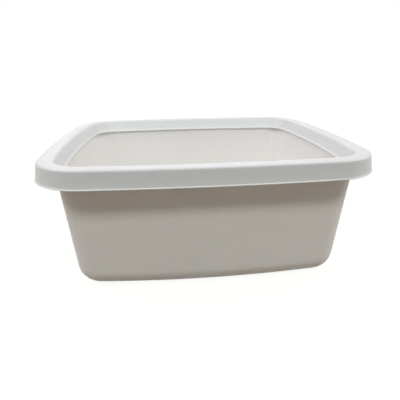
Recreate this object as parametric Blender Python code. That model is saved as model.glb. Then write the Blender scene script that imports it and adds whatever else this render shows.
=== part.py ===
"""A rectangular plastic basin: a tapered pan, and a rim frame that lifts off its flange.

Units are metres. The long sides run along X and the short sides along Y, +Z is up, and the
origin is the centre of the underside, on the surface that the basin stands on. Both pieces
are thin mouldings, so each one is drawn as a sheet and given its wall by a Solidify modifier.

Every outline in plan is the skirt's foot moved in by an inset. A cross-section is a list of
(inset, height) points, read from the outside of the basin towards its middle.
"""

import math

import bmesh
import bpy

MM = 0.001

# Overall size, measured over the foot of the frame's skirt
LENGTH = 370 * MM
WIDTH = 329 * MM
HEIGHT = 145.4 * MM
CORNER_RADIUS = 46 * MM
LONG_SIDE_BOW = 8.2 * MM
SHORT_SIDE_BOW = 9.6 * MM

# Rim frame, an upside-down channel whose legs spread towards their feet
FRAME_WALL = 1.8 * MM
RIM_WIDTH = 25.9 * MM
SKIRT_HEIGHT = 18.7 * MM
SKIRT_LEAN = math.radians(9)
SKIRT_HEM = 0.7 * MM
INNER_LEG_HEIGHT = 16 * MM
INNER_LEG_LEAN = math.radians(25)
INNER_LEG_HEM = 0.8 * MM
HEM_EDGE = 0.8 * MM
OUTER_SHOULDER_RADIUS = 2.4 * MM
INNER_SHOULDER_RADIUS = 3.5 * MM
CROWN_RISE = 0.3 * MM

# Pan
PAN_WALL = 2 * MM
WALL_SETBACK = 18.1 * MM
WALL_DRAFT = math.radians(4.55)
WALL_CORNER_RADIUS = 30 * MM
BASE_CORNER_RADIUS = 21 * MM
BOTTOM_RADIUS = 21 * MM
LIP_DEPTH = 5 * MM
FLANGE_BEND_RADIUS = 3.2 * MM
FOOT_BAND = 14 * MM
PANEL_RISE = 1.6 * MM
PANEL_SLOPE = 3 * MM
PANEL_CORNER_RADIUS = 20 * MM
GATE_RADIUS = 4 * MM
GATE_DEPTH = 0.8 * MM

# Fit between the two
SEAT_GAP = 0.3 * MM
LIP_CLEARANCE = 1.2 * MM
LOCATOR_GAP = 0.6 * MM

# Ribs under the frame's crown, and gussets under the pan's flange between them
RIB_THICKNESS = 1.4 * MM
RIB_DEPTH = 4.4 * MM
LOCATOR_DROP = 6 * MM
GUSSET_THICKNESS = 1.6 * MM
GUSSET_DROP = 10 * MM
LONG_SIDE_RIBS = 5
SHORT_SIDE_RIBS = 3
END_RIB_SETBACK = 14 * MM

# Snap beads inside the skirt
BEAD_LENGTH = 26 * MM
BEAD_HEIGHT = 2.6 * MM

# Smallest plan radius that an outline keeps
LEAST_RADIUS = 1 * MM

# Facets of the curves
CORNER_STEPS = 8
SIDE_STEPS = 6
CROWN_STEPS = 4
OUTER_SHOULDER_STEPS = 4
INNER_SHOULDER_STEPS = 5
LIP_BEND_STEPS = 3
WALL_BEND_STEPS = 4
BOTTOM_STEPS = 6
GATE_SIDES = 24
SHARP_ANGLE = math.radians(35)

HALF_LENGTH = LENGTH / 2 - SHORT_SIDE_BOW
HALF_WIDTH = WIDTH / 2 - LONG_SIDE_BOW
SKIRT_FOOT = HEIGHT - SKIRT_HEIGHT
FLANGE_TOP = HEIGHT - CROWN_RISE - FRAME_WALL - RIB_DEPTH - SEAT_GAP
QUARTER = math.pi / 2


def bowed(x, y, inset):
    """Bends a point of the straight-sided outline out to the bowed one."""
    half_x = HALF_LENGTH - inset
    half_y = HALF_WIDTH - inset
    out_x = x * (1 + SHORT_SIDE_BOW / half_x * (1 - (y / half_y) ** 2))
    out_y = y * (1 + LONG_SIDE_BOW / half_y * (1 - (x / half_x) ** 2))
    return out_x, out_y


def outline(inset, radius):
    """One closed plan curve: four bowed sides and four round corners, counter-clockwise."""
    reach_x = HALF_LENGTH - inset - radius
    reach_y = HALF_WIDTH - inset - radius
    corners = ((1, 1), (-1, 1), (-1, -1), (1, -1))
    points = []
    for index, (sign_x, sign_y) in enumerate(corners):
        for step in range(CORNER_STEPS + 1):
            angle = (index + step / CORNER_STEPS) * QUARTER
            points.append((sign_x * reach_x + radius * math.cos(angle),
                           sign_y * reach_y + radius * math.sin(angle)))
        last_x, last_y = points[-1]
        next_x, next_y = corners[(index + 1) % 4]
        turn = (index + 1) * QUARTER
        goal_x = next_x * reach_x + radius * math.cos(turn)
        goal_y = next_y * reach_y + radius * math.sin(turn)
        for step in range(1, SIDE_STEPS):
            share = step / SIDE_STEPS
            points.append((last_x + (goal_x - last_x) * share,
                           last_y + (goal_y - last_y) * share))
    return [bowed(x, y, inset) for x, y in points]


def arc(centre, radius, start, end, steps):
    """Points of a cross-section's arc. An angle of 0 faces the middle, a quarter turn faces up."""
    inset, height = centre
    angles = [start + (end - start) * step / steps for step in range(steps + 1)]
    return [(inset + radius * math.cos(a), height + radius * math.sin(a)) for a in angles]


def moved_in(section, distance):
    """The cross-section moved sideways by a distance, to the right of its own direction."""
    result = []
    for index, (inset, height) in enumerate(section):
        before = section[max(index - 1, 0)]
        after = section[min(index + 1, len(section) - 1)]
        run = after[0] - before[0]
        rise = after[1] - before[1]
        length = math.hypot(run, rise)
        result.append((inset + rise / length * distance, height - run / length * distance))
    return result


def skirt_inset(height):
    """Inset of the skirt's outer face, which leans in towards the top."""
    return SKIRT_HEM + math.tan(SKIRT_LEAN) * (height - SKIRT_FOOT - HEM_EDGE - SKIRT_HEM)


def leg_inset(height):
    """Inset of the inner leg's visible face, which leans towards the middle at its foot."""
    leg_foot = HEIGHT - INNER_LEG_HEIGHT + HEM_EDGE + INNER_LEG_HEM
    return RIM_WIDTH - INNER_LEG_HEM - math.tan(INNER_LEG_LEAN) * (height - leg_foot)


def lip_inset(height):
    """Inset of the outer face of the pan's lip, which runs parallel to the skirt."""
    return skirt_inset(height) + FRAME_WALL / math.cos(SKIRT_LEAN) + LIP_CLEARANCE


def wall_inset(height):
    """Inset of the pan's inner face, which draws in towards the floor."""
    outer = WALL_SETBACK + math.tan(WALL_DRAFT) * (SKIRT_FOOT - height)
    return outer + PAN_WALL / math.cos(WALL_DRAFT)


def frame_radius(inset, height):
    """Plan radius of the frame at any height: parallel to the skirt's foot."""
    return max(CORNER_RADIUS - inset, LEAST_RADIUS)


def pan_radius(inset, height):
    """Plan radius of the pan: parallel to the skirt at the lip, and rounder down the wall."""
    if inset < lip_inset(FLANGE_TOP) + FLANGE_BEND_RADIUS:
        return frame_radius(inset, height)
    share = height / SKIRT_FOOT
    at_wall = BASE_CORNER_RADIUS + (WALL_CORNER_RADIUS - BASE_CORNER_RADIUS) * share - PAN_WALL
    return max(at_wall + wall_inset(height) - inset, LEAST_RADIUS)


def dome(start, end):
    """The crown between the two shoulders: a shallow curve whose middle is the top."""
    control = 2 * HEIGHT - (start[1] + end[1]) / 2
    points = []
    for step in range(1, CROWN_STEPS):
        share = step / CROWN_STEPS
        inset = start[0] + (end[0] - start[0]) * share
        height = (start[1] * (1 - share) ** 2 + end[1] * share ** 2
                  + 2 * control * share * (1 - share))
        points.append((inset, height))
    return points


def frame_section():
    """The frame's visible face: skirt foot, hem, skirt, crown, inner leg, hem, inner foot."""
    shoulder_top = HEIGHT - CROWN_RISE
    inner_foot = HEIGHT - INNER_LEG_HEIGHT
    outer_centre_z = shoulder_top - OUTER_SHOULDER_RADIUS
    inner_centre_z = shoulder_top - INNER_SHOULDER_RADIUS
    meets_skirt = outer_centre_z + OUTER_SHOULDER_RADIUS * math.sin(SKIRT_LEAN)
    outer_centre = skirt_inset(meets_skirt) + OUTER_SHOULDER_RADIUS * math.cos(SKIRT_LEAN)
    meets_leg = inner_centre_z + INNER_SHOULDER_RADIUS * math.sin(INNER_LEG_LEAN)
    inner_centre = leg_inset(meets_leg) - INNER_SHOULDER_RADIUS * math.cos(INNER_LEG_LEAN)
    crown_lean = math.atan(4 * CROWN_RISE / (inner_centre - outer_centre))
    outer_shoulder = arc((outer_centre, outer_centre_z), OUTER_SHOULDER_RADIUS,
                         math.pi - SKIRT_LEAN, QUARTER + crown_lean, OUTER_SHOULDER_STEPS)
    inner_shoulder = arc((inner_centre, inner_centre_z), INNER_SHOULDER_RADIUS,
                         QUARTER - crown_lean, INNER_LEG_LEAN, INNER_SHOULDER_STEPS)
    section = [(0, SKIRT_FOOT), (0, SKIRT_FOOT + HEM_EDGE)]
    section.append((SKIRT_HEM, SKIRT_FOOT + HEM_EDGE + SKIRT_HEM))
    section += outer_shoulder + dome(outer_shoulder[-1], inner_shoulder[0]) + inner_shoulder
    section.append((RIM_WIDTH - INNER_LEG_HEM, inner_foot + HEM_EDGE + INNER_LEG_HEM))
    section.append((RIM_WIDTH, inner_foot + HEM_EDGE))
    section.append((RIM_WIDTH, inner_foot))
    return section


def pan_section():
    """The pan's upper and inner face: lip foot, lip, flange, wall, bottom curve."""
    bend = FLANGE_BEND_RADIUS
    bend_z = FLANGE_TOP - bend
    meets_lip = bend_z + bend * math.sin(SKIRT_LEAN)
    lip_centre = lip_inset(meets_lip) + bend * math.cos(SKIRT_LEAN)
    meets_wall = bend_z + bend * math.sin(-WALL_DRAFT)
    wall_centre = wall_inset(meets_wall) - bend * math.cos(WALL_DRAFT)
    lip_foot = FLANGE_TOP - LIP_DEPTH
    inner_radius = BOTTOM_RADIUS - PAN_WALL
    leaves_wall = BOTTOM_RADIUS - inner_radius * math.sin(WALL_DRAFT)
    bottom_centre = wall_inset(leaves_wall) + inner_radius * math.cos(WALL_DRAFT)
    section = [(lip_inset(lip_foot), lip_foot)]
    section += arc((lip_centre, bend_z), bend, math.pi - SKIRT_LEAN, QUARTER, LIP_BEND_STEPS)
    section += arc((wall_centre, bend_z), bend, QUARTER, -WALL_DRAFT, WALL_BEND_STEPS)
    section += arc((bottom_centre, BOTTOM_RADIUS), inner_radius,
                   math.pi + WALL_DRAFT, 3 * QUARTER, BOTTOM_STEPS)
    return section


def new_object(name, bm, material):
    """Links a mesh made from bm, with its round parts shaded smooth."""
    mesh = bpy.data.meshes.new(name)
    bm.to_mesh(mesh)
    bm.free()
    made = bpy.data.objects.new(name, mesh)
    bpy.context.scene.collection.objects.link(made)
    if material:
        mesh.materials.append(material)
    mesh.shade_smooth()
    mesh.set_sharp_from_angle(angle=SHARP_ANGLE)
    return made


def plastic(name, colour, roughness):
    """A moulded plastic with its own colour."""
    material = bpy.data.materials.new(name)
    material.use_nodes = True
    shader = material.node_tree.nodes["Principled BSDF"]
    shader.inputs["Base Color"].default_value = (*colour, 1)
    shader.inputs["Roughness"].default_value = roughness
    shader.inputs["Metallic"].default_value = 0
    return material


def ring(bm, inset, height, radius):
    """One outline as a loop of vertices at a height."""
    return [bm.verts.new((x, y, height)) for x, y in outline(inset, radius)]


def bridge(bm, outer, inner):
    """Quads between two rings that have the same number of points."""
    count = len(outer)
    for index in range(count):
        after = (index + 1) % count
        bm.faces.new((outer[index], outer[after], inner[after], inner[index]))


def lofted(section, radius_at):
    """An open sheet, the cross-section carried round the outline, and its rings."""
    bm = bmesh.new()
    rings = [ring(bm, inset, height, radius_at(inset, height)) for inset, height in section]
    for outer, inner in zip(rings, rings[1:]):
        bridge(bm, outer, inner)
    return bm, rings


def add_wall(made, thickness):
    """Gives a sheet its wall, on the side that its faces turn away from."""
    solidify = made.modifiers.new("wall", "SOLIDIFY")
    solidify.thickness = thickness
    solidify.offset = -1
    solidify.use_even_offset = True
    solidify.use_rim = True


def prism(bm, low, high):
    """A closed solid between two matching polygons."""
    first = [bm.verts.new(point) for point in low]
    second = [bm.verts.new(point) for point in high]
    count = len(first)
    for index in range(count):
        after = (index + 1) % count
        bm.faces.new((first[index], first[after], second[after], second[index]))
    bm.faces.new(reversed(first))
    bm.faces.new(second)


def side_slice(side, along, section):
    """A cross-section stood on one side at a distance along it from the side's middle."""
    sign = 1 if side in ("back", "right") else -1
    points = []
    for inset, height in section:
        if side in ("front", "back"):
            y = bowed(along, sign * (HALF_WIDTH - inset), inset)[1]
            points.append((along, y, height))
        else:
            x = bowed(sign * (HALF_LENGTH - inset), along, inset)[0]
            points.append((x, along, height))
    return points


def corner_slice(sign_x, sign_y, angle, section):
    """A cross-section stood on a round corner, at an angle from the short side's direction."""
    points = []
    for inset, height in section:
        radius = frame_radius(inset, height)
        x = sign_x * (HALF_LENGTH - inset - radius + radius * math.cos(angle))
        y = sign_y * (HALF_WIDTH - inset - radius + radius * math.sin(angle))
        points.append((*bowed(x, y, inset), height))
    return points


def rib_spots():
    """Distances along each side at which the frame's ribs stand."""
    spots = {}
    for sides, half, count in ((("front", "back"), HALF_LENGTH, LONG_SIDE_RIBS),
                               (("left", "right"), HALF_WIDTH, SHORT_SIDE_RIBS)):
        reach = half - CORNER_RADIUS - END_RIB_SETBACK
        row = [reach * (2 * index / (count - 1) - 1) for index in range(count)]
        for side in sides:
            spots[side] = row
    return spots


def bay_spots():
    """Distances along the long sides of the middles of the bays between ribs.

    The short sides are left smooth there, because fingers go between the skirt and the wall.
    """
    spots = rib_spots()
    return {side: [(a + b) / 2 for a, b in zip(spots[side], spots[side][1:])]
            for side in ("front", "back")}


def end_bay_spots():
    """The first and the last bay of each long side."""
    return {side: [row[0], row[-1]] for side, row in bay_spots().items()}


def along_sides(section, thickness, spots):
    """One helper mesh that holds a prism of this cross-section at every spot."""
    bm = bmesh.new()
    half = thickness / 2
    for side, row in spots.items():
        for along in row:
            prism(bm, side_slice(side, along - half, section),
                  side_slice(side, along + half, section))
    bmesh.ops.recalc_face_normals(bm, faces=bm.faces)
    return bm


def in_corners(section, thickness):
    """One helper mesh that holds a web of this cross-section across each corner."""
    bm = bmesh.new()
    turn = thickness / 2 / CORNER_RADIUS
    for sign_x, sign_y in ((1, 1), (-1, 1), (-1, -1), (1, -1)):
        prism(bm, corner_slice(sign_x, sign_y, QUARTER / 2 - turn, section),
              corner_slice(sign_x, sign_y, QUARTER / 2 + turn, section))
    bmesh.ops.recalc_face_normals(bm, faces=bm.faces)
    return bm


def union(made, name, bm):
    """Fuses a helper mesh into a piece, because both are one moulding."""
    helper = new_object(name, bm, None)
    helper.hide_render = True
    helper.display_type = "WIRE"
    boolean = made.modifiers.new(name, "BOOLEAN")
    boolean.operation = "UNION"
    boolean.solver = "EXACT"
    boolean.object = helper


def seat_rib_section():
    """A plain frame rib: it fills the crown and its lower edge sits on the pan's flange."""
    seat = FLANGE_TOP + SEAT_GAP
    middle = moved_in(frame_section(), FRAME_WALL / 2)
    upper = [point for point in middle if point[1] > seat]
    return ([(skirt_inset(seat) + FRAME_WALL / 2, seat)] + upper
            + [(leg_inset(seat) - FRAME_WALL / 2, seat)])


def locator_rib_section():
    """A seat rib that also steps down inside the pan's wall, to keep the frame in place."""
    seat = FLANGE_TOP + SEAT_GAP
    foot = seat - LOCATOR_DROP
    locator = wall_inset(foot) + LOCATOR_GAP
    return seat_rib_section() + [(leg_inset(foot) - FRAME_WALL / 2, foot),
                                 (locator, foot), (locator, seat)]


def gusset_section():
    """A pan gusset: it fills the corner between the flange, the lip and the outer wall."""
    low = FLANGE_TOP - GUSSET_DROP
    lip_low = FLANGE_TOP - LIP_DEPTH + GUSSET_THICKNESS
    middle = moved_in(pan_section(), PAN_WALL / 2)
    bends = [point for point in middle[1:] if point[1] > low]
    return ([(lip_inset(lip_low) + PAN_WALL / 2, lip_low)] + bends
            + [(wall_inset(low) - PAN_WALL / 2, low)])


def bead_section():
    """A snap bead: a ramp on the skirt's channel face, just under the pan's lip."""
    lip_foot = FLANGE_TOP - LIP_DEPTH
    top = lip_foot - SEAT_GAP
    foot = top - BEAD_HEIGHT
    tip = lip_inset(lip_foot) - SEAT_GAP
    root = FRAME_WALL / 2
    return [(skirt_inset(top) + root, top), (tip, top - BEAD_HEIGHT / 3),
            (skirt_inset(foot) + root, foot)]


def gate_helper():
    """The moulding gate's mark: a low round boss in the middle of the underside."""
    bm = bmesh.new()
    top = PANEL_RISE + PAN_WALL / 2
    bottom = PANEL_RISE - GATE_DEPTH
    made = bmesh.ops.create_cone(bm, cap_ends=True, segments=GATE_SIDES, radius1=GATE_RADIUS,
                                 radius2=GATE_RADIUS, depth=top - bottom)
    bmesh.ops.translate(bm, verts=made["verts"], vec=(0, 0, (top + bottom) / 2))
    return bm


def build_frame(material):
    """The rim frame, with its seat ribs and snap beads."""
    bm, _ = lofted(frame_section(), frame_radius)
    made = new_object("rim_frame", bm, material)
    add_wall(made, FRAME_WALL)
    union(made, "side_ribs", along_sides(locator_rib_section(), RIB_THICKNESS, rib_spots()))
    union(made, "corner_ribs", in_corners(seat_rib_section(), RIB_THICKNESS))
    union(made, "snap_beads", along_sides(bead_section(), BEAD_LENGTH, end_bay_spots()))
    return made


def build_pan(material):
    """The pan, with its raised floor panel, flange gussets and gate mark."""
    section = pan_section()
    bm, rings = lofted(section, pan_radius)
    band_edge = section[-1][0] + FOOT_BAND
    low = ring(bm, band_edge, PAN_WALL, PANEL_CORNER_RADIUS)
    high = ring(bm, band_edge + PANEL_SLOPE, PAN_WALL + PANEL_RISE, PANEL_CORNER_RADIUS)
    bridge(bm, rings[-1], low)
    bridge(bm, low, high)
    bm.faces.new(high)
    made = new_object("pan", bm, material)
    add_wall(made, PAN_WALL)
    union(made, "gussets", along_sides(gusset_section(), GUSSET_THICKNESS, bay_spots()))
    union(made, "gate_mark", gate_helper())
    return made


def main():
    for old in list(bpy.data.objects):
        bpy.data.objects.remove(old)
    build_pan(plastic("warm_white_plastic", (0.86, 0.845, 0.815), 0.4))
    build_frame(plastic("cool_white_plastic", (0.79, 0.805, 0.81), 0.36))


main()
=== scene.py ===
"""The looks of a rectangular plastic basin: a warm white pan under a cool white rim frame.

Lengths are metres, +Z is up, the long sides run along X, and the origin is the centre of the
underside. Each moulding is a closed cross-section carried round a bowed, round-cornered plan.
A cross-section is a path of (inset, height) points. An inset is how far a point lies in from
the skirt's foot, which is the widest outline of the basin.
"""

import math

import bmesh
import bpy
import numpy as np
from mathutils import Matrix, Vector


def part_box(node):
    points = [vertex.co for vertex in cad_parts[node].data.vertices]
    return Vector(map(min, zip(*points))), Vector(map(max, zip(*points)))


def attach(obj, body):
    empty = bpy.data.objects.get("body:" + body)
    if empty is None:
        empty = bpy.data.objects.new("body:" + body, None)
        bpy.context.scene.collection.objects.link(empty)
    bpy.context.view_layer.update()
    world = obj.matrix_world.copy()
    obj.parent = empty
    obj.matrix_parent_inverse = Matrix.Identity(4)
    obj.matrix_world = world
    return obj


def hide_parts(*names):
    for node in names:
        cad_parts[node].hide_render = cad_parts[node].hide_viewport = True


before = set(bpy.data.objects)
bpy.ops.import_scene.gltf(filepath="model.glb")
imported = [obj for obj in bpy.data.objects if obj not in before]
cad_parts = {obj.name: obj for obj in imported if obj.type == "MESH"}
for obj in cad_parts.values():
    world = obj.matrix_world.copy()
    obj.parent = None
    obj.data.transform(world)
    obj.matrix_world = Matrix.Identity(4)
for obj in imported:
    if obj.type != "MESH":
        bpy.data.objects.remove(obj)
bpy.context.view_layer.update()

MM = 0.001

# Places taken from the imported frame. The skirt is drawn a little longer than its solid.
SKIRT_DROP = 0.7 * MM
_, pan_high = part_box("pan")
rim_low, rim_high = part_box("rim_frame")
TOP = rim_high.z
SKIRT_FOOT = rim_low.z - SKIRT_DROP
FLANGE_TOP = pan_high.z

# Plan
LONG_SIDE_BOW = 8.2 * MM
SHORT_SIDE_BOW = 9.6 * MM
CORNER_RADIUS = 46 * MM
HALF_LENGTH = rim_high.x - SHORT_SIDE_BOW
HALF_WIDTH = rim_high.y - LONG_SIDE_BOW

# Rim frame
FRAME_WALL = 1.8 * MM
RIM_WIDTH = 25.9 * MM
SKIRT_LEAN = math.radians(9)
SKIRT_HEM = 0.7 * MM
INNER_LEG_HEIGHT = 16.4 * MM
INNER_LEG_LEAN = math.radians(25)
INNER_LEG_HEM = 0.8 * MM
HEM_EDGE = 0.8 * MM
OUTER_SHOULDER_RADIUS = 2.4 * MM
INNER_SHOULDER_RADIUS = 4.2 * MM
CROWN_RISE = 0.3 * MM
CROWN_RADIUS = 28 * MM
HEM_RADIUS = 0.7 * MM
FOOT_ROUND = 0.32 * MM

# Pan. Its wall bends outward inside the rim, so that it clears the frame's inner leg.
PAN_WALL = 2 * MM
WALL_SETBACK = 20.5 * MM
WALL_DRAFT = math.radians(4.1)
WALL_TOP_LEAN = math.radians(21)
WALL_BEND_HEIGHT = 129.5 * MM
WALL_BEND_RADIUS = 8 * MM
WALL_CORNER_RADIUS = 20 * MM
BASE_CORNER_RADIUS = 22 * MM
BOTTOM_RADIUS = 22 * MM
LIP_CLEARANCE = 1.2 * MM
LIP_DEPTH = 5 * MM
FLANGE_BEND_RADIUS = 3.2 * MM
FOOT_BAND = 14 * MM
PANEL_RISE = 1.6 * MM
PANEL_SLOPE = 3 * MM
PANEL_CORNER_RADIUS = 20 * MM
PANEL_EDGE_RADIUS = 1.6 * MM

# Ribs, gussets and snap beads
SEAT_GAP = 0.3 * MM
RIB_THICKNESS = 1.4 * MM
LOCATOR_DROP = 6 * MM
LOCATOR_GAP = 0.6 * MM
GUSSET_THICKNESS = 1.6 * MM
GUSSET_DROP = 10 * MM
LONG_SIDE_RIBS = 5
SHORT_SIDE_RIBS = 3
END_RIB_SETBACK = 14 * MM
RIB_EDGE = 0.2 * MM
BEAD_LENGTH = 26 * MM
BEAD_HEIGHT = 2.6 * MM
BEAD_EDGE = 0.25 * MM
GATE_RADIUS = 4 * MM
GATE_DEPTH = 0.8 * MM

# Plastic: colours as (body, flow marks, painted highlight on sharp edges and hems, also used to pale
# the scratches), lengths of grain and haze, counts per metre
PAN_COLOURS = ((0.90, 0.885, 0.862), (0.915, 0.90, 0.877), (0.93, 0.92, 0.905))
PAN_ROUGHNESS = 0.40
PAN_GRAIN = 0.05 * MM
PAN_HAZE = 0.3
PAN_HAZE_DEPTH = 5 * MM
FRAME_COLOURS = ((0.765, 0.782, 0.787), (0.775, 0.79, 0.797), (0.96, 0.96, 0.955))
FRAME_ROUGHNESS = 0.36
FRAME_GRAIN = 0.035 * MM
FRAME_HAZE = 0.4
FRAME_HAZE_DEPTH = 4 * MM
PLASTIC_IOR = 1.49
HAZE_REACH = (1.0, 0.9, 0.75)
GRAIN_STRENGTH = 0.35
PEBBLES = 1500.0
FINE_GRAIN = 3200.0
GRAIN_PATCHES = 420.0
SCRATCH_PATCHES = (26, 26, 26)
FLOW_MARKS = (9, 9, 22)
FILM_SPOTS = (60, 60, 45)

# Light
LAMP_DISTANCE = 2.4
LAMPS = (
    # name, azimuth, elevation, size, watts, colour
    ("front_high", 0, 52, (2.4, 0.4), 26.8, (0.955, 1.0, 0.965)),
    ("left_high", -90, 45, (1.6, 1.6), 20.8, (1.0, 0.955, 0.985)),
    ("right_high", 90, 45, (1.6, 1.6), 12.9, (1.0, 0.94, 0.965)),
    ("left_low", -90, 14, (1.6, 0.8), 1.7, (1.0, 1.0, 1.0)),
    ("right_low", 90, 14, (1.6, 0.8), 6.9, (1.0, 0.98, 0.99)),
    ("front_low", 0, 20, (2.4, 1.0), 1.3, (0.98, 1.0, 0.995)),
    ("back_high", 180, 45, (2.0, 1.6), 11.6, (1.0, 0.965, 0.955)),
    ("back_low", 180, 14, (2.0, 0.8), 1.8, (1.0, 0.99, 0.985)),
)
ROOM_LIGHT = 0.10
FLOOR_COLOUR = (0.16, 0.118, 0.072)
FLOOR_REACH = 12.0
FLOOR_GLOW = 0.92
GLOW_NEAR = 0.35
GLOW_FAR = 1.3

# Camera, solved on the photograph's outlines. Its focal length is a share of the sensor's width.
CAMERA_PLACE = (-48.5 * MM, -485.2 * MM, 236 * MM)
CAMERA_YAW = 0.1023
CAMERA_PITCH = 0.3617
CAMERA_ROLL = -0.0094
CAMERA_FOCAL_SHARE = 0.9113
SENSOR_WIDTH = 36

# How finely the surfaces are drawn
PLAN_CORNER_STEPS = 30
PLAN_SIDE_STEPS = 44
PATH_SPACING = 2.2 * MM
ARC_TURN = math.radians(9)
CAP_RINGS = 14
BEAD_SLICES = 12
GATE_COLUMNS = 48


def plan_steps():
    """The plan's running values: signs of the corner that a point belongs to, and its angle.

    Along a corner the signs stay and the angle turns a quarter. Along a side the angle stays
    and the signs go evenly from one corner's to the next one's.
    """
    corner_x = np.array([1.0, -1.0, -1.0, 1.0])
    corner_y = np.array([1.0, 1.0, -1.0, -1.0])
    turn = np.linspace(0, 1, PLAN_CORNER_STEPS, endpoint=False)
    run = np.linspace(0, 1, PLAN_SIDE_STEPS, endpoint=False)
    quarter = np.arange(4)[:, None]
    next_x = np.roll(corner_x, -1)[:, None] - corner_x[:, None]
    next_y = np.roll(corner_y, -1)[:, None] - corner_y[:, None]
    signs_x = np.hstack([corner_x[:, None] + 0 * turn, corner_x[:, None] + next_x * run])
    signs_y = np.hstack([corner_y[:, None] + 0 * turn, corner_y[:, None] + next_y * run])
    angles = np.hstack([quarter + turn, quarter + 1 + 0 * run]) * math.pi / 2
    return signs_x.ravel(), signs_y.ravel(), angles.ravel()


def carried(path, radii, scales):
    """The grid of points that a cross-section sweeps: one row for each of its points.

    A row is the round-cornered rectangle of that inset and radius. Its sides are bowed by a
    parabola, which adds the whole bow at a side's middle and none at its end. A scale under 1
    draws the row in towards the middle.
    """
    signs_x, signs_y, angles = plan_steps()
    inset = path[:, :1]
    radius = radii[:, None]
    half_x = HALF_LENGTH - inset
    half_y = HALF_WIDTH - inset
    x = signs_x * (half_x - radius) + radius * np.cos(angles)
    y = signs_y * (half_y - radius) + radius * np.sin(angles)
    bowed_x = x * (1 + SHORT_SIDE_BOW / half_x * (1 - (y / half_y) ** 2))
    bowed_y = y * (1 + LONG_SIDE_BOW / half_y * (1 - (x / half_x) ** 2))
    height = path[:, 1:] + 0 * x
    return np.stack([bowed_x * scales[:, None], bowed_y * scales[:, None], height], axis=2)


def unit(vectors):
    """Vectors scaled to length 1."""
    return vectors / np.linalg.norm(vectors, axis=-1, keepdims=True)


def parallel(corners, wall):
    """The corners of the same path moved to its right by the wall's thickness.

    Each one lies where the two moved straights cross. The ends move square to their straight.
    """
    runs = unit(np.diff(corners, axis=0))
    normals = np.column_stack([runs[:, 1], -runs[:, 0]])
    before = np.vstack([normals[:1], normals])
    after = np.vstack([normals, normals[-1:]])
    share = 1 + np.sum(before * after, axis=1, keepdims=True)
    return corners + wall * (before + after) / share


def parallel_radii(corners, radii, wall):
    """Radii on the moved path: smaller where it turns right, and larger where it turns left."""
    runs = np.diff(corners, axis=0)
    turns = runs[:-1, 0] * runs[1:, 1] - runs[:-1, 1] * runs[1:, 0]
    return np.maximum(np.asarray(radii) + wall * np.sign(turns), FOOT_ROUND)


def rounded_corner(before, corner, after, radius):
    """An arc that touches both straights of a corner, with a point for each small turn."""
    back = unit(before - corner)
    ahead = unit(after - corner)
    half = math.acos(np.clip(back @ ahead, -1, 1)) / 2
    turn = math.pi - 2 * half
    reach = radius / math.tan(half)
    centre = corner + unit(back + ahead) * radius / math.sin(half)
    start = corner + back * reach - centre
    end = corner + ahead * reach - centre
    share = np.linspace(0, 1, max(4, round(turn / ARC_TURN) + 1))[:, None]
    swing = np.sin((1 - share) * turn) * start + np.sin(share * turn) * end
    return centre + swing / math.sin(turn)


def filleted(corners, radii, closed):
    """The path through the corners with each one rounded. An open path keeps its two ends."""
    if closed:
        cycle = np.vstack([corners[-1:], corners, corners[:1]])
        arcs = [rounded_corner(*cycle[i:i + 3], radii[i]) for i in range(len(corners))]
        return np.vstack(arcs)
    arcs = [rounded_corner(*corners[i:i + 3], radii[i]) for i in range(len(corners) - 2)]
    return np.vstack([corners[:1], *arcs, corners[-1:]])


def with_even_spacing(path):
    """The path with points added on its straights, none further apart than the spacing."""
    along = np.concatenate([[0], np.cumsum(np.linalg.norm(np.diff(path, axis=0), axis=1))])
    gaps = np.maximum(np.ceil(np.diff(along) / PATH_SPACING), 1).astype(int)
    start = np.repeat(along[:-1], gaps)
    step = np.repeat(np.diff(along) / gaps, gaps)
    count = np.arange(gaps.sum()) - np.repeat(np.cumsum(gaps) - gaps, gaps)
    places = np.append(start + step * count, along[-1])
    return np.column_stack([np.interp(places, along, path[:, axis]) for axis in (0, 1)])


def edge_mask(path, closed):
    """How sharply the path bends at each point: 0 at radii over 2 mm, and 1 at radii under 1 mm.

    It is twice the turn per millimetre, less 1, spread a little along the path.
    """
    wrap = "wrap" if closed else "edge"
    ring = np.pad(path, ((1, 1), (0, 0)), mode=wrap)
    back = ring[1:-1] - ring[:-2]
    ahead = ring[2:] - ring[1:-1]
    length = np.maximum(np.linalg.norm(back, axis=1) + np.linalg.norm(ahead, axis=1), 1e-9) / 2
    cross = back[:, 0] * ahead[:, 1] - back[:, 1] * ahead[:, 0]
    turn = np.abs(np.arctan2(cross, np.sum(back * ahead, axis=1)))
    bend = np.clip(2 * turn / length * MM - 1, 0, 1)
    for _ in range(3):
        spread = np.pad(bend, 1, mode=wrap)
        bend = (spread[:-2] + 2 * spread[1:-1] + spread[2:]) / 4
    return bend


def mesh_piece(name, points, faces, corners, edges=None):
    """A piece made from its points, its faces' corner numbers, and how many corners each has."""
    mesh = bpy.data.meshes.new(name)
    mesh.vertices.add(len(points))
    mesh.vertices.foreach_set("co", points.astype(np.float32).ravel())
    mesh.loops.add(len(faces))
    mesh.loops.foreach_set("vertex_index", faces.astype(np.int32))
    mesh.polygons.add(len(corners))
    starts = np.concatenate([[0], np.cumsum(corners)[:-1]])
    mesh.polygons.foreach_set("loop_start", starts.astype(np.int32))
    mesh.update(calc_edges=True)
    if edges is not None:
        # The 'edge' attribute holds the bend mask that places the painted highlight on sharp edges
        # and hems.
        attribute = mesh.attributes.new("edge", "FLOAT", "POINT")
        attribute.data.foreach_set("value", edges.astype(np.float32))
    mesh.shade_smooth()
    mesh.validate()
    piece = bpy.data.objects.new(name, mesh)
    bpy.context.scene.collection.objects.link(piece)
    return piece


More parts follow.
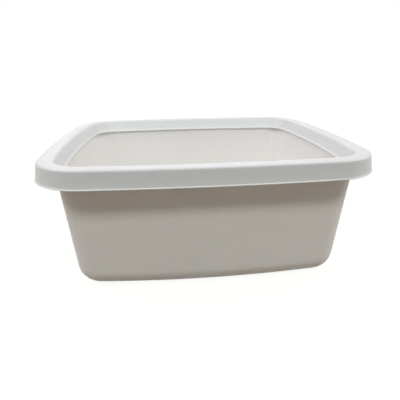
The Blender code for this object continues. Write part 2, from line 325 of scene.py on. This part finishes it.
def swept_piece(name, grid, edges, closed):
    """A closed piece from a grid of rows: a tube of rows, or a sheet with both its ends poled.

    Quads join each row to the next. An open sheet's first and last rows are joined by
    triangles to a point in their middle.
    """
    rows, columns = grid.shape[:2]
    number = np.arange(rows * columns).reshape(rows, columns)
    here = number if closed else number[:-1]
    there = np.roll(number, -1, axis=0) if closed else number[1:]
    quads = np.stack([here, np.roll(here, -1, axis=1), np.roll(there, -1, axis=1), there], axis=2)
    points = grid.reshape(-1, 3)
    faces = quads.reshape(-1)
    corners = np.full(quads.shape[0] * columns, 4)
    masks = np.repeat(edges, columns)
    if not closed:
        poles = np.array([grid[0].mean(axis=0), grid[-1].mean(axis=0)])
        first = np.stack([np.roll(number[0], -1), number[0], np.full(columns, len(points))], axis=1)
        last = np.stack([number[-1], np.roll(number[-1], -1), np.full(columns, len(points) + 1)],
                        axis=1)
        points = np.vstack([points, poles])
        faces = np.concatenate([faces, first.ravel(), last.ravel()])
        corners = np.concatenate([corners, np.full(2 * columns, 3)])
        masks = np.append(masks, [0, 0])
    return mesh_piece(name, points, faces, corners, masks)


def skirt_inset(height):
    """Inset of the skirt's outer face, which leans in towards the top."""
    return SKIRT_HEM + math.tan(SKIRT_LEAN) * (height - SKIRT_FOOT - HEM_EDGE - SKIRT_HEM)


def leg_inset(height):
    """Inset of the inner leg's visible face, which leans towards the middle at its foot."""
    leg_foot = TOP - INNER_LEG_HEIGHT + HEM_EDGE + INNER_LEG_HEM
    return RIM_WIDTH - INNER_LEG_HEM - math.tan(INNER_LEG_LEAN) * (height - leg_foot)


def lip_inset(height):
    """Inset of the outer face of the pan's lip, which runs parallel to the skirt."""
    return skirt_inset(height) + FRAME_WALL / math.cos(SKIRT_LEAN) + LIP_CLEARANCE


def wall_inset(height):
    """Inset of the pan's inner face, which draws in towards the floor, and faster above its bend."""
    outer = WALL_SETBACK + math.tan(WALL_DRAFT) * (SKIRT_FOOT - height)
    above_bend = np.maximum(height - WALL_BEND_HEIGHT, 0)
    outer = outer - (math.tan(WALL_TOP_LEAN) - math.tan(WALL_DRAFT)) * above_bend
    return outer + PAN_WALL / math.cos(WALL_DRAFT)


def frame_corners():
    """Corners and radii of the frame's visible face, from the skirt's foot to the inner foot.

    The crown is two straights that meet halfway between the shoulders' centres, and their
    shared arc makes the dome.
    """
    inner_foot = TOP - INNER_LEG_HEIGHT
    shoulder_top = TOP - CROWN_RISE
    meets_skirt = shoulder_top - OUTER_SHOULDER_RADIUS * (1 - math.sin(SKIRT_LEAN))
    outer_centre = skirt_inset(meets_skirt) + OUTER_SHOULDER_RADIUS * math.cos(SKIRT_LEAN)
    meets_leg = shoulder_top - INNER_SHOULDER_RADIUS * (1 - math.sin(INNER_LEG_LEAN))
    inner_centre = leg_inset(meets_leg) - INNER_SHOULDER_RADIUS * math.cos(INNER_LEG_LEAN)
    slope = math.atan(4 * CROWN_RISE / (inner_centre - outer_centre))
    middle = (outer_centre + inner_centre) / 2
    peak = TOP + CROWN_RADIUS * (1 / math.cos(slope) - 1)
    outer_low = peak - (middle - skirt_inset(TOP)) * math.tan(slope)
    inner_low = peak - (leg_inset(TOP) - middle) * math.tan(slope)
    corners = np.array([
        (0, SKIRT_FOOT),
        (0, SKIRT_FOOT + HEM_EDGE),
        (SKIRT_HEM, SKIRT_FOOT + HEM_EDGE + SKIRT_HEM),
        (skirt_inset(outer_low), outer_low),
        (middle, peak),
        (leg_inset(inner_low), inner_low),
        (RIM_WIDTH - INNER_LEG_HEM, inner_foot + HEM_EDGE + INNER_LEG_HEM),
        (RIM_WIDTH, inner_foot + HEM_EDGE),
        (RIM_WIDTH, inner_foot),
    ])
    radii = [HEM_EDGE / 2, HEM_RADIUS, OUTER_SHOULDER_RADIUS, CROWN_RADIUS,
             INNER_SHOULDER_RADIUS, HEM_RADIUS, HEM_EDGE / 2]
    return corners, radii


def rim_frame_shell():
    """The frame: its visible face and the channel face a wall's thickness under it, as one loop."""
    corners, radii = frame_corners()
    under = parallel(corners, FRAME_WALL)[::-1]
    under_radii = parallel_radii(corners, radii, FRAME_WALL)[::-1]
    loop = np.vstack([corners, under])
    foot = [FOOT_ROUND]
    path = filleted(loop, [*foot, *radii, *foot, *foot, *under_radii, *foot], closed=True)
    path = with_even_spacing(np.vstack([path, path[:1]]))[:-1]
    plan = np.maximum(CORNER_RADIUS - path[:, 0], MM)
    grid = carried(path, plan, np.ones(len(path)))
    return swept_piece("rim_frame_shell", grid, edge_mask(path, True), closed=True)


def pan_corners():
    """Corners and radii of the pan's inner face, from its lip's foot to the floor panel's edge."""
    lip_foot = FLANGE_TOP - LIP_DEPTH
    inner_radius = BOTTOM_RADIUS - PAN_WALL
    leaves_wall = BOTTOM_RADIUS - inner_radius * math.sin(WALL_DRAFT)
    floor_start = wall_inset(leaves_wall) + inner_radius * math.cos(WALL_DRAFT)
    band_end = floor_start + FOOT_BAND
    corners = np.array([
        (lip_inset(lip_foot), lip_foot),
        (lip_inset(FLANGE_TOP), FLANGE_TOP),
        (wall_inset(FLANGE_TOP), FLANGE_TOP),
        (wall_inset(WALL_BEND_HEIGHT), WALL_BEND_HEIGHT),
        (wall_inset(PAN_WALL), PAN_WALL),
        (band_end, PAN_WALL),
        (band_end + PANEL_SLOPE, PAN_WALL + PANEL_RISE),
        (band_end + 3 * PANEL_SLOPE, PAN_WALL + PANEL_RISE),
    ])
    radii = [FLANGE_BEND_RADIUS, FLANGE_BEND_RADIUS, WALL_BEND_RADIUS, inner_radius,
             PANEL_EDGE_RADIUS, PANEL_EDGE_RADIUS + PAN_WALL]
    return corners, radii, floor_start, band_end


def eased(value, low, high):
    """0 below low, 1 above high, and a smooth step between."""
    share = np.clip((value - low) / (high - low), 0, 1)
    return share * share * (3 - 2 * share)


def pan_plan_radii(path, floor_start, band_end):
    """Plan radii of the pan's rows.

    The lip runs parallel to the skirt. The wall's radius goes evenly from its value at the
    skirt's foot to the one at the base. The floor's rows go over to the panel's radius.
    """
    inset, height = path[:, 0], path[:, 1]
    share = height / SKIRT_FOOT
    at_wall = BASE_CORNER_RADIUS + (WALL_CORNER_RADIUS - BASE_CORNER_RADIUS) * share - PAN_WALL
    wall = at_wall + wall_inset(height) - inset
    lip = CORNER_RADIUS - inset
    over_flange = eased(inset, lip_inset(FLANGE_TOP) + PAN_WALL, wall_inset(FLANGE_TOP) - PAN_WALL)
    radii = lip + (wall - lip) * over_flange
    over_floor = np.clip((inset - floor_start) / (band_end - floor_start), 0, 1)
    return np.maximum(radii, MM) * (1 - over_floor) + PANEL_CORNER_RADIUS * over_floor


def pan_shell():
    """The pan: underside, outer wall, lip, flange, inner wall and floor as one closed skin."""
    corners, radii, floor_start, band_end = pan_corners()
    under = parallel(corners, PAN_WALL)
    under_radii = parallel_radii(corners, radii, PAN_WALL)
    loop = np.vstack([under[::-1], corners])
    path = filleted(loop, [*under_radii[::-1], FOOT_ROUND, FOOT_ROUND, *radii], closed=False)
    path = with_even_spacing(path)
    plan = pan_plan_radii(path, floor_start, band_end)
    edges = edge_mask(path, False)
    shrink = np.linspace(1, 0, CAP_RINGS, endpoint=False)[1:]
    rows = np.concatenate([np.zeros(len(shrink), int), np.arange(len(path)),
                           np.full(len(shrink), len(path) - 1)])
    scales = np.concatenate([shrink[::-1], np.ones(len(path)), shrink])
    grid = carried(path[rows], plan[rows], scales)
    return swept_piece("pan_shell", grid, edges[rows], closed=False)


def side_grid(side, along, section):
    """A cross-section stood on one side, once for each distance from the side's middle."""
    inset = section[:, 0]
    height = section[:, 1] + 0 * along[:, None]
    half_x = HALF_LENGTH - inset
    half_y = HALF_WIDTH - inset
    if side in ("front", "back"):
        sign = 1 if side == "back" else -1
        y = sign * (half_y + LONG_SIDE_BOW * (1 - (along[:, None] / half_x) ** 2))
        return np.stack([along[:, None] + 0 * y, y, height], axis=2)
    sign = 1 if side == "right" else -1
    x = sign * (half_x + SHORT_SIDE_BOW * (1 - (along[:, None] / half_y) ** 2))
    return np.stack([x, along[:, None] + 0 * x, height], axis=2)


def corner_grid(sign_x, sign_y, section, thickness):
    """A cross-section stood across a round corner, at both faces of a web."""
    radius = np.maximum(CORNER_RADIUS - section[:, 0], MM)
    half_x = HALF_LENGTH - section[:, 0]
    half_y = HALF_WIDTH - section[:, 0]
    turn = np.array([[-1], [1]]) * thickness / 2 / CORNER_RADIUS + math.pi / 4
    x = sign_x * (half_x - radius + radius * np.cos(turn))
    y = sign_y * (half_y - radius + radius * np.sin(turn))
    bowed_x = x * (1 + SHORT_SIDE_BOW / half_x * (1 - (y / half_y) ** 2))
    bowed_y = y * (1 + LONG_SIDE_BOW / half_y * (1 - (x / half_x) ** 2))
    return np.stack([bowed_x, bowed_y, section[:, 1] + 0 * x], axis=2)


def prisms(name, grids, bevel):
    """One piece from a stack of slices for each prism, capped at both ends and bevelled."""
    points, faces, corners, base = [], [], [], 0
    for grid in grids:
        slices, count = grid.shape[:2]
        number = np.arange(slices * count).reshape(slices, count) + base
        here, there = number[:-1], number[1:]
        next_here, next_there = np.roll(here, -1, axis=1), np.roll(there, -1, axis=1)
        quads = np.stack([here, next_here, next_there, there], axis=2)
        points.append(grid.reshape(-1, 3))
        faces += [quads.ravel(), number[0][::-1], number[-1]]
        corners += [np.full(quads.shape[0] * count, 4), [count], [count]]
        base += slices * count
    piece = mesh_piece(name, np.vstack(points), np.concatenate(faces), np.concatenate(corners))
    outward(piece)
    rounding = piece.modifiers.new("edges", "BEVEL")
    rounding.width = bevel
    rounding.segments = 2
    rounding.limit_method = "ANGLE"
    rounding.angle_limit = math.radians(40)
    rounding.harden_normals = True
    return piece


def outward(piece):
    """Turns every face of a closed piece to point out of it."""
    shape = bmesh.new()
    shape.from_mesh(piece.data)
    bmesh.ops.recalc_face_normals(shape, faces=shape.faces)
    shape.to_mesh(piece.data)
    shape.free()


def rib_spots():
    """Distances along each side at which the frame's ribs stand."""
    spots = {}
    for sides, half, count in ((("front", "back"), HALF_LENGTH, LONG_SIDE_RIBS),
                               (("left", "right"), HALF_WIDTH, SHORT_SIDE_RIBS)):
        reach = half - CORNER_RADIUS - END_RIB_SETBACK
        for side in sides:
            spots[side] = np.linspace(-reach, reach, count)
    return spots


def bay_spots():
    """The middles of the bays between the long sides' ribs. The short sides are left to fingers."""
    spots = rib_spots()
    return {side: (spots[side][1:] + spots[side][:-1]) / 2 for side in ("front", "back")}


def seat_section():
    """A frame rib: it fills the crown down to the pan's flange."""
    corners, radii = frame_corners()
    seat = FLANGE_TOP + SEAT_GAP
    middle = parallel(corners, FRAME_WALL / 2)
    middle_radii = parallel_radii(corners, radii, FRAME_WALL / 2)
    path = filleted(middle, middle_radii, closed=False)
    upper = path[path[:, 1] > seat]
    return np.vstack([(skirt_inset(seat) + FRAME_WALL / 2, seat), upper,
                      (leg_inset(seat) - FRAME_WALL / 2, seat)])


def locator_section():
    """A seat rib with a step down inside the pan's wall."""
    seat = FLANGE_TOP + SEAT_GAP
    foot = seat - LOCATOR_DROP
    return np.vstack([seat_section(),
                      (leg_inset(foot) - FRAME_WALL / 2, foot),
                      (wall_inset(foot) + LOCATOR_GAP, foot),
                      (wall_inset(seat) + LOCATOR_GAP, seat)])


def gusset_section():
    """A pan gusset: the corner between the flange, the lip and the outer wall."""
    low = FLANGE_TOP - GUSSET_DROP
    lip_low = FLANGE_TOP - LIP_DEPTH + PAN_WALL / 2
    under = FLANGE_TOP - PAN_WALL / 2
    bend = FLANGE_BEND_RADIUS - PAN_WALL / 2
    return np.array([
        (lip_inset(lip_low) + PAN_WALL / 2, lip_low),
        (lip_inset(under - bend) + PAN_WALL / 2, under - bend),
        (lip_inset(under) + PAN_WALL / 2 + bend, under),
        (wall_inset(under) - PAN_WALL / 2 - bend, under),
        (wall_inset(under - bend) - PAN_WALL / 2, under - bend),
        (wall_inset(low) - PAN_WALL / 2, low),
    ])


def bead_section():
    """A snap bead: a ramp on the skirt's channel face, just under the pan's lip."""
    lip_foot = FLANGE_TOP - LIP_DEPTH
    top = lip_foot - SEAT_GAP
    foot = top - BEAD_HEIGHT
    root = FRAME_WALL / 2
    return np.array([
        (skirt_inset(top) + root, top),
        (lip_inset(lip_foot) - SEAT_GAP, top - BEAD_HEIGHT / 3),
        (skirt_inset(foot) + root, foot),
    ])


def along_sides(section, thickness, spots, slices=2):
    """Slices of one prism at each spot of each side."""
    reach = np.linspace(-thickness / 2, thickness / 2, slices)
    return [side_grid(side, spot + reach, section) for side, row in spots.items() for spot in row]


def frame_ribs():
    """The frame's ribs: with a locator step along the sides, and plain across the corners."""
    grids = along_sides(locator_section(), RIB_THICKNESS, rib_spots())
    corners = ((1, 1), (-1, 1), (-1, -1), (1, -1))
    grids += [corner_grid(x, y, seat_section(), RIB_THICKNESS) for x, y in corners]
    return prisms("frame_ribs", grids, RIB_EDGE)


def snap_beads():
    """Two snap beads inside the skirt of each long side, sliced so that they follow its bow."""
    ends = {side: row[[0, -1]] for side, row in bay_spots().items()}
    grids = along_sides(bead_section(), BEAD_LENGTH, ends, BEAD_SLICES)
    return prisms("snap_beads", grids, BEAD_EDGE)


def flange_gussets():
    """The gussets under the pan's flange, in the middle of each bay."""
    grids = along_sides(gusset_section(), GUSSET_THICKNESS, bay_spots())
    return prisms("flange_gussets", grids, RIB_EDGE)


def gate_mark():
    """The moulding gate's mark: a low turned boss in the middle of the underside.

    Its rows are circles: up the side, round the edge, and in over the flat to a dimple.
    """
    low = PANEL_RISE - GATE_DEPTH
    radius = GATE_RADIUS * np.array([1, 1, 0.97, 0.9, 0.42, 0.34, 0.2])
    height = np.array([PANEL_RISE + PAN_WALL / 2, low + 0.3 * MM, low + 0.08 * MM, low, low,
                       low + 0.25 * MM, low + 0.32 * MM])
    angle = np.linspace(0, 2 * math.pi, GATE_COLUMNS, endpoint=False)
    grid = np.stack([radius[:, None] * np.cos(angle), radius[:, None] * np.sin(angle),
                     height[:, None] + 0 * angle], axis=2)
    piece = swept_piece("gate_mark", grid, np.zeros(len(radius)), closed=False)
    outward(piece)
    return piece


def add_node(tree, kind, **values):
    """A shader node. A value sets an input socket where one has its name, or else a setting."""
    made = tree.nodes.new(kind)
    for name, value in values.items():
        socket = name.replace("_", " ").title()
        if socket in made.inputs:
            made.inputs[socket].default_value = value
        else:
            setattr(made, name, value)
    return made


def new_group(name, inputs, outputs):
    """A shader node group with named float, colour or vector sockets."""
    group = bpy.data.node_groups.new(name, "ShaderNodeTree")
    kinds = {"value": "NodeSocketFloat", "colour": "NodeSocketColor", "vector": "NodeSocketVector"}
    for way, sockets in (("INPUT", inputs), ("OUTPUT", outputs)):
        for label, kind in sockets.items():
            group.interface.new_socket(label, in_out=way, socket_type=kinds[kind])
    start = group.nodes.new("NodeGroupInput")
    end = group.nodes.new("NodeGroupOutput")
    return group, start, end


def maths(tree, operation, first, second=None):
    """A Math node between two sockets or numbers."""
    made = tree.nodes.new("ShaderNodeMath")
    made.operation = operation
    for index, value in enumerate((first, second)):
        if value is None:
            continue
        if isinstance(value, (int, float)):
            made.inputs[index].default_value = value
        else:
            tree.links.new(value, made.inputs[index])
    return made.outputs[0]


def mapped(tree, vector, scale, turn=(0, 0, 0)):
    """A vector stretched and turned by a Mapping node."""
    made = tree.nodes.new("ShaderNodeMapping")
    made.inputs["Scale"].default_value = scale
    made.inputs["Rotation"].default_value = turn
    tree.links.new(vector, made.inputs["Vector"])
    return made.outputs["Vector"]


def noise(tree, vector, scale, detail=2.0, roughness=0.5):
    """A Noise texture's value."""
    made = add_node(tree, "ShaderNodeTexNoise", scale=scale, detail=detail, roughness=roughness)
    tree.links.new(vector, made.inputs["Vector"])
    return made.outputs["Fac"]


def ramp(tree, value, low, high, to_low=0.0, to_high=1.0):
    """A value mapped smoothly from one range onto another."""
    made = tree.nodes.new("ShaderNodeMapRange")
    made.interpolation_type = "SMOOTHSTEP"
    for index, number in ((1, low), (2, high), (3, to_low), (4, to_high)):
        made.inputs[index].default_value = number
    tree.links.new(value, made.inputs[0])
    return made.outputs[0]


def mould_grain_group():
    """Mould grain: a fine pebbled height, and a mask of how open the grain is."""
    group, start, end = new_group("mould_grain", {"Vector": "vector"},
                                  {"Height": "value", "Mask": "value"})
    vector = start.outputs["Vector"]
    pebbles = add_node(group, "ShaderNodeTexVoronoi", scale=PEBBLES)
    pebbles.feature = "SMOOTH_F1"
    group.links.new(vector, pebbles.inputs["Vector"])
    fine = noise(group, vector, FINE_GRAIN, 3.0, 0.6)
    height = maths(group, "ADD", maths(group, "MULTIPLY", pebbles.outputs["Distance"], 0.7),
                   maths(group, "MULTIPLY", fine, 0.5))
    group.links.new(height, end.inputs["Height"])
    patches = noise(group, vector, GRAIN_PATCHES)
    group.links.new(ramp(group, patches, 0.35, 0.65), end.inputs["Mask"])
    return group


def scratches_group():
    """Handling scratches: thin broken lines in three directions, as a mask."""
    group, start, end = new_group("handling_scratches", {"Vector": "vector"}, {"Mask": "value"})
    vector = start.outputs["Vector"]
    total = None
    for turn, scale in (((0.3, 0.5, 0.4), (40, 900, 900)), ((1.1, 0.2, 1.9), (900, 55, 900)),
                        ((0.7, 2.1, 0.9), (900, 900, 48))):
        lines = noise(group, mapped(group, vector, scale, turn), 1.0, 1.0)
        off_middle = maths(group, "ABSOLUTE", maths(group, "SUBTRACT", lines, 0.5))
        thin = ramp(group, off_middle, 0.0, 0.012, 1.0, 0.0)
        patches = noise(group, mapped(group, vector, SCRATCH_PATCHES, turn), 1.0)
        places = ramp(group, patches, 0.54, 0.66)
        found = maths(group, "MULTIPLY", thin, places)
        total = found if total is None else maths(group, "MAXIMUM", total, found)
    group.links.new(total, end.inputs["Mask"])
    return group


def mottle_group():
    """Slow changes over the moulding: flow and cooling marks, and a film of dried water."""
    group, start, end = new_group("slow_mottle", {"Vector": "vector"},
                                  {"Flow": "value", "Film": "value"})
    vector = start.outputs["Vector"]
    flow = noise(group, mapped(group, vector, FLOW_MARKS), 1.0, 3.0, 0.45)
    film = noise(group, mapped(group, vector, FILM_SPOTS), 1.0, 4.0, 0.6)
    group.links.new(ramp(group, flow, 0.3, 0.7), end.inputs["Flow"])
    group.links.new(ramp(group, film, 0.45, 0.75), end.inputs["Film"])
    return group


GRAIN = mould_grain_group()
SCRATCHES = scratches_group()
MOTTLE = mottle_group()


def mixed(tree, amount, first, second):
    """Two colours mixed by a mask. A colour is a socket or three numbers."""
    made = tree.nodes.new("ShaderNodeMix")
    made.data_type = "RGBA"
    tree.links.new(amount, made.inputs["Factor"])
    for socket, colour in ((made.inputs[6], first), (made.inputs[7], second)):
        if isinstance(colour, tuple):
            socket.default_value = (*colour, 1)
        else:
            tree.links.new(colour, socket)
    return made.outputs[2]


def moulded_plastic(name, colours, roughness, grain_depth, haze, depth):
    """Moulded polypropylene with its grain, flow marks, film and scratches, and a painted highlight
    that draws its sharp edges and hems paler.

    The haze is the share of light that goes into the plastic, and the depth is how far it goes.
    """
    colour, flow_colour, edge_highlight_and_scratch_colour = colours
    material = bpy.data.materials.new(name)
    material.use_nodes = True
    tree = material.node_tree
    shader = tree.nodes["Principled BSDF"]
    place = tree.nodes.new("ShaderNodeTexCoord").outputs["Object"]
    groups = {}
    for group in (GRAIN, SCRATCHES, MOTTLE):
        made = tree.nodes.new("ShaderNodeGroup")
        made.node_tree = group
        tree.links.new(place, made.inputs["Vector"])
        groups[group.name] = made.outputs
    edge = add_node(tree, "ShaderNodeAttribute", attribute_name="edge").outputs["Fac"]
    flow = groups["slow_mottle"]["Flow"]
    film = groups["slow_mottle"]["Film"]
    scratch = groups["handling_scratches"]["Mask"]
    base = mixed(tree, flow, colour, flow_colour)
    film_colour = tuple(0.96 * part for part in flow_colour)
    base = mixed(tree, maths(tree, "MULTIPLY", film, 0.12), base, film_colour)
    # Scratches are drawn paler with the same pale colour that paints the edge highlight.
    base = mixed(tree, maths(tree, "MULTIPLY", scratch, 0.10), base, edge_highlight_and_scratch_colour)
    # Painted highlight: sharp edges and hems, marked by the 'edge' bend attribute, are drawn in the
    # pale colour in place of the light they catch.
    base = mixed(tree, edge, base, edge_highlight_and_scratch_colour)
    tree.links.new(base, shader.inputs["Base Color"])
    open_grain = groups["mould_grain"]["Mask"]
    rough = maths(tree, "ADD", maths(tree, "MULTIPLY", open_grain, 0.05), roughness)
    rough = maths(tree, "ADD", rough, maths(tree, "MULTIPLY", film, 0.06))
    rough = maths(tree, "SUBTRACT", rough, maths(tree, "MULTIPLY", scratch, 0.08))
    rough = maths(tree, "SUBTRACT", rough, maths(tree, "MULTIPLY", edge, 0.10))
    tree.links.new(rough, shader.inputs["Roughness"])
    grain = groups["mould_grain"]["Height"]
    height = maths(tree, "SUBTRACT", grain, maths(tree, "MULTIPLY", scratch, 0.8))
    bump = add_node(tree, "ShaderNodeBump", strength=GRAIN_STRENGTH, distance=grain_depth)
    tree.links.new(height, bump.inputs["Height"])
    tree.links.new(bump.outputs["Normal"], shader.inputs["Normal"])
    shader.inputs["IOR"].default_value = PLASTIC_IOR
    shader.inputs["Subsurface Weight"].default_value = haze
    shader.inputs["Subsurface Radius"].default_value = HAZE_REACH
    shader.inputs["Subsurface Scale"].default_value = depth
    return material


def dress(piece, material, body):
    """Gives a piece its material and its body."""
    piece.data.materials.append(material)
    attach(piece, body)
    return piece


def pan_pieces():
    """The pan and what is moulded on it."""
    plastic = moulded_plastic("warm_white_plastic", PAN_COLOURS, PAN_ROUGHNESS, PAN_GRAIN,
                              PAN_HAZE, PAN_HAZE_DEPTH)
    shell = dress(pan_shell(), plastic, "pan")
    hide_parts("pan")
    dress(flange_gussets(), plastic, "pan")
    dress(gate_mark(), plastic, "pan")


def frame_pieces():
    """The rim frame and what is moulded on it."""
    plastic = moulded_plastic("cool_white_plastic", FRAME_COLOURS, FRAME_ROUGHNESS, FRAME_GRAIN,
                              FRAME_HAZE, FRAME_HAZE_DEPTH)
    shell = dress(rim_frame_shell(), plastic, "rim_frame")
    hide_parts("rim_frame")
    dress(frame_ribs(), plastic, "rim_frame")
    dress(snap_beads(), plastic, "rim_frame")


def pale_floor():
    """A plain pale floor that reads as white, keeps the basin's shadow and ends in the white room."""
    points = np.array([(-1, -1, 0), (1, -1, 0), (1, 1, 0), (-1, 1, 0)]) * FLOOR_REACH
    floor = mesh_piece("floor", points, np.arange(4), np.array([4]))
    material = bpy.data.materials.new("pale_floor")
    material.use_nodes = True
    tree = material.node_tree
    shader = tree.nodes["Principled BSDF"]
    shader.inputs["Base Color"].default_value = (*FLOOR_COLOUR, 1)
    shader.inputs["Roughness"].default_value = 0.9
    shader.inputs["Emission Color"].default_value = (1, 1, 1, 1)
    path = tree.nodes.new("ShaderNodeLightPath")
    seen = maths(tree, "MAXIMUM", path.outputs["Is Camera Ray"], path.outputs["Is Glossy Ray"])
    seen = maths(tree, "MAXIMUM", seen, path.outputs["Is Transmission Ray"])
    distance = tree.nodes.new("ShaderNodeVectorMath")
    distance.operation = "LENGTH"
    tree.links.new(tree.nodes.new("ShaderNodeTexCoord").outputs["Object"], distance.inputs[0])
    glow = ramp(tree, distance.outputs["Value"], GLOW_NEAR, GLOW_FAR, FLOOR_GLOW, 1.0)
    tree.links.new(maths(tree, "MULTIPLY", seen, glow), shader.inputs["Emission Strength"])
    floor.data.materials.append(material)


def lamp(name, azimuth, elevation, size, watts, colour):
    """A rectangular soft lamp that faces the rim's middle. Azimuth 0 is in front, 90 on the right."""
    around, up = math.radians(azimuth), math.radians(elevation)
    level = math.cos(up)
    way = Vector((math.sin(around) * level, -math.cos(around) * level, math.sin(up)))
    data = bpy.data.lights.new(name, "AREA")
    data.shape = "RECTANGLE"
    data.size, data.size_y = size
    data.energy = watts
    data.color = colour
    made = bpy.data.objects.new(name, data)
    made.location = Vector((0, 0, TOP)) + LAMP_DISTANCE * way
    made.rotation_euler = way.to_track_quat("Z", "Y").to_euler()
    bpy.context.scene.collection.objects.link(made)


def studio_light():
    """Soft lamps round the basin, the strongest high in front, and a faint pale room."""
    for row in LAMPS:
        lamp(*row)
    world = bpy.data.worlds.new("pale_room")
    bpy.context.scene.world = world
    world.use_nodes = True
    tree = world.node_tree
    shown = tree.nodes["Background"]
    shown.inputs["Color"].default_value = (1, 1, 1, 1)
    path = tree.nodes.new("ShaderNodeLightPath")
    seen = maths(tree, "MAXIMUM", path.outputs["Is Camera Ray"], path.outputs["Is Glossy Ray"])
    seen = maths(tree, "MAXIMUM", seen, path.outputs["Is Transmission Ray"])
    strength = maths(tree, "ADD", maths(tree, "MULTIPLY", seen, 1 - ROOM_LIGHT), ROOM_LIGHT)
    tree.links.new(strength, shown.inputs["Strength"])


def camera():
    """The camera, close and a little left of the basin's middle, looking slightly right and down."""
    yaw, pitch, roll = CAMERA_YAW, CAMERA_PITCH, CAMERA_ROLL
    data = bpy.data.cameras.new("camera")
    data.sensor_width = SENSOR_WIDTH
    data.lens = SENSOR_WIDTH * CAMERA_FOCAL_SHARE
    ahead = Vector((math.sin(yaw) * math.cos(pitch), math.cos(yaw) * math.cos(pitch),
                    -math.sin(pitch)))
    level = Vector((math.cos(yaw), -math.sin(yaw), 0))
    up = level.cross(ahead)
    right = math.cos(roll) * level + math.sin(roll) * up
    top = -math.sin(roll) * level + math.cos(roll) * up
    turned = Matrix((right, top, -ahead)).transposed().to_4x4()
    made = bpy.data.objects.new("camera", data)
    made.matrix_world = Matrix.Translation(CAMERA_PLACE) @ turned
    bpy.context.scene.collection.objects.link(made)
    bpy.context.scene.camera = made


pan_pieces()
frame_pieces()
pale_floor()
studio_light()
camera()
bpy.context.scene.view_settings.view_transform = "Standard"
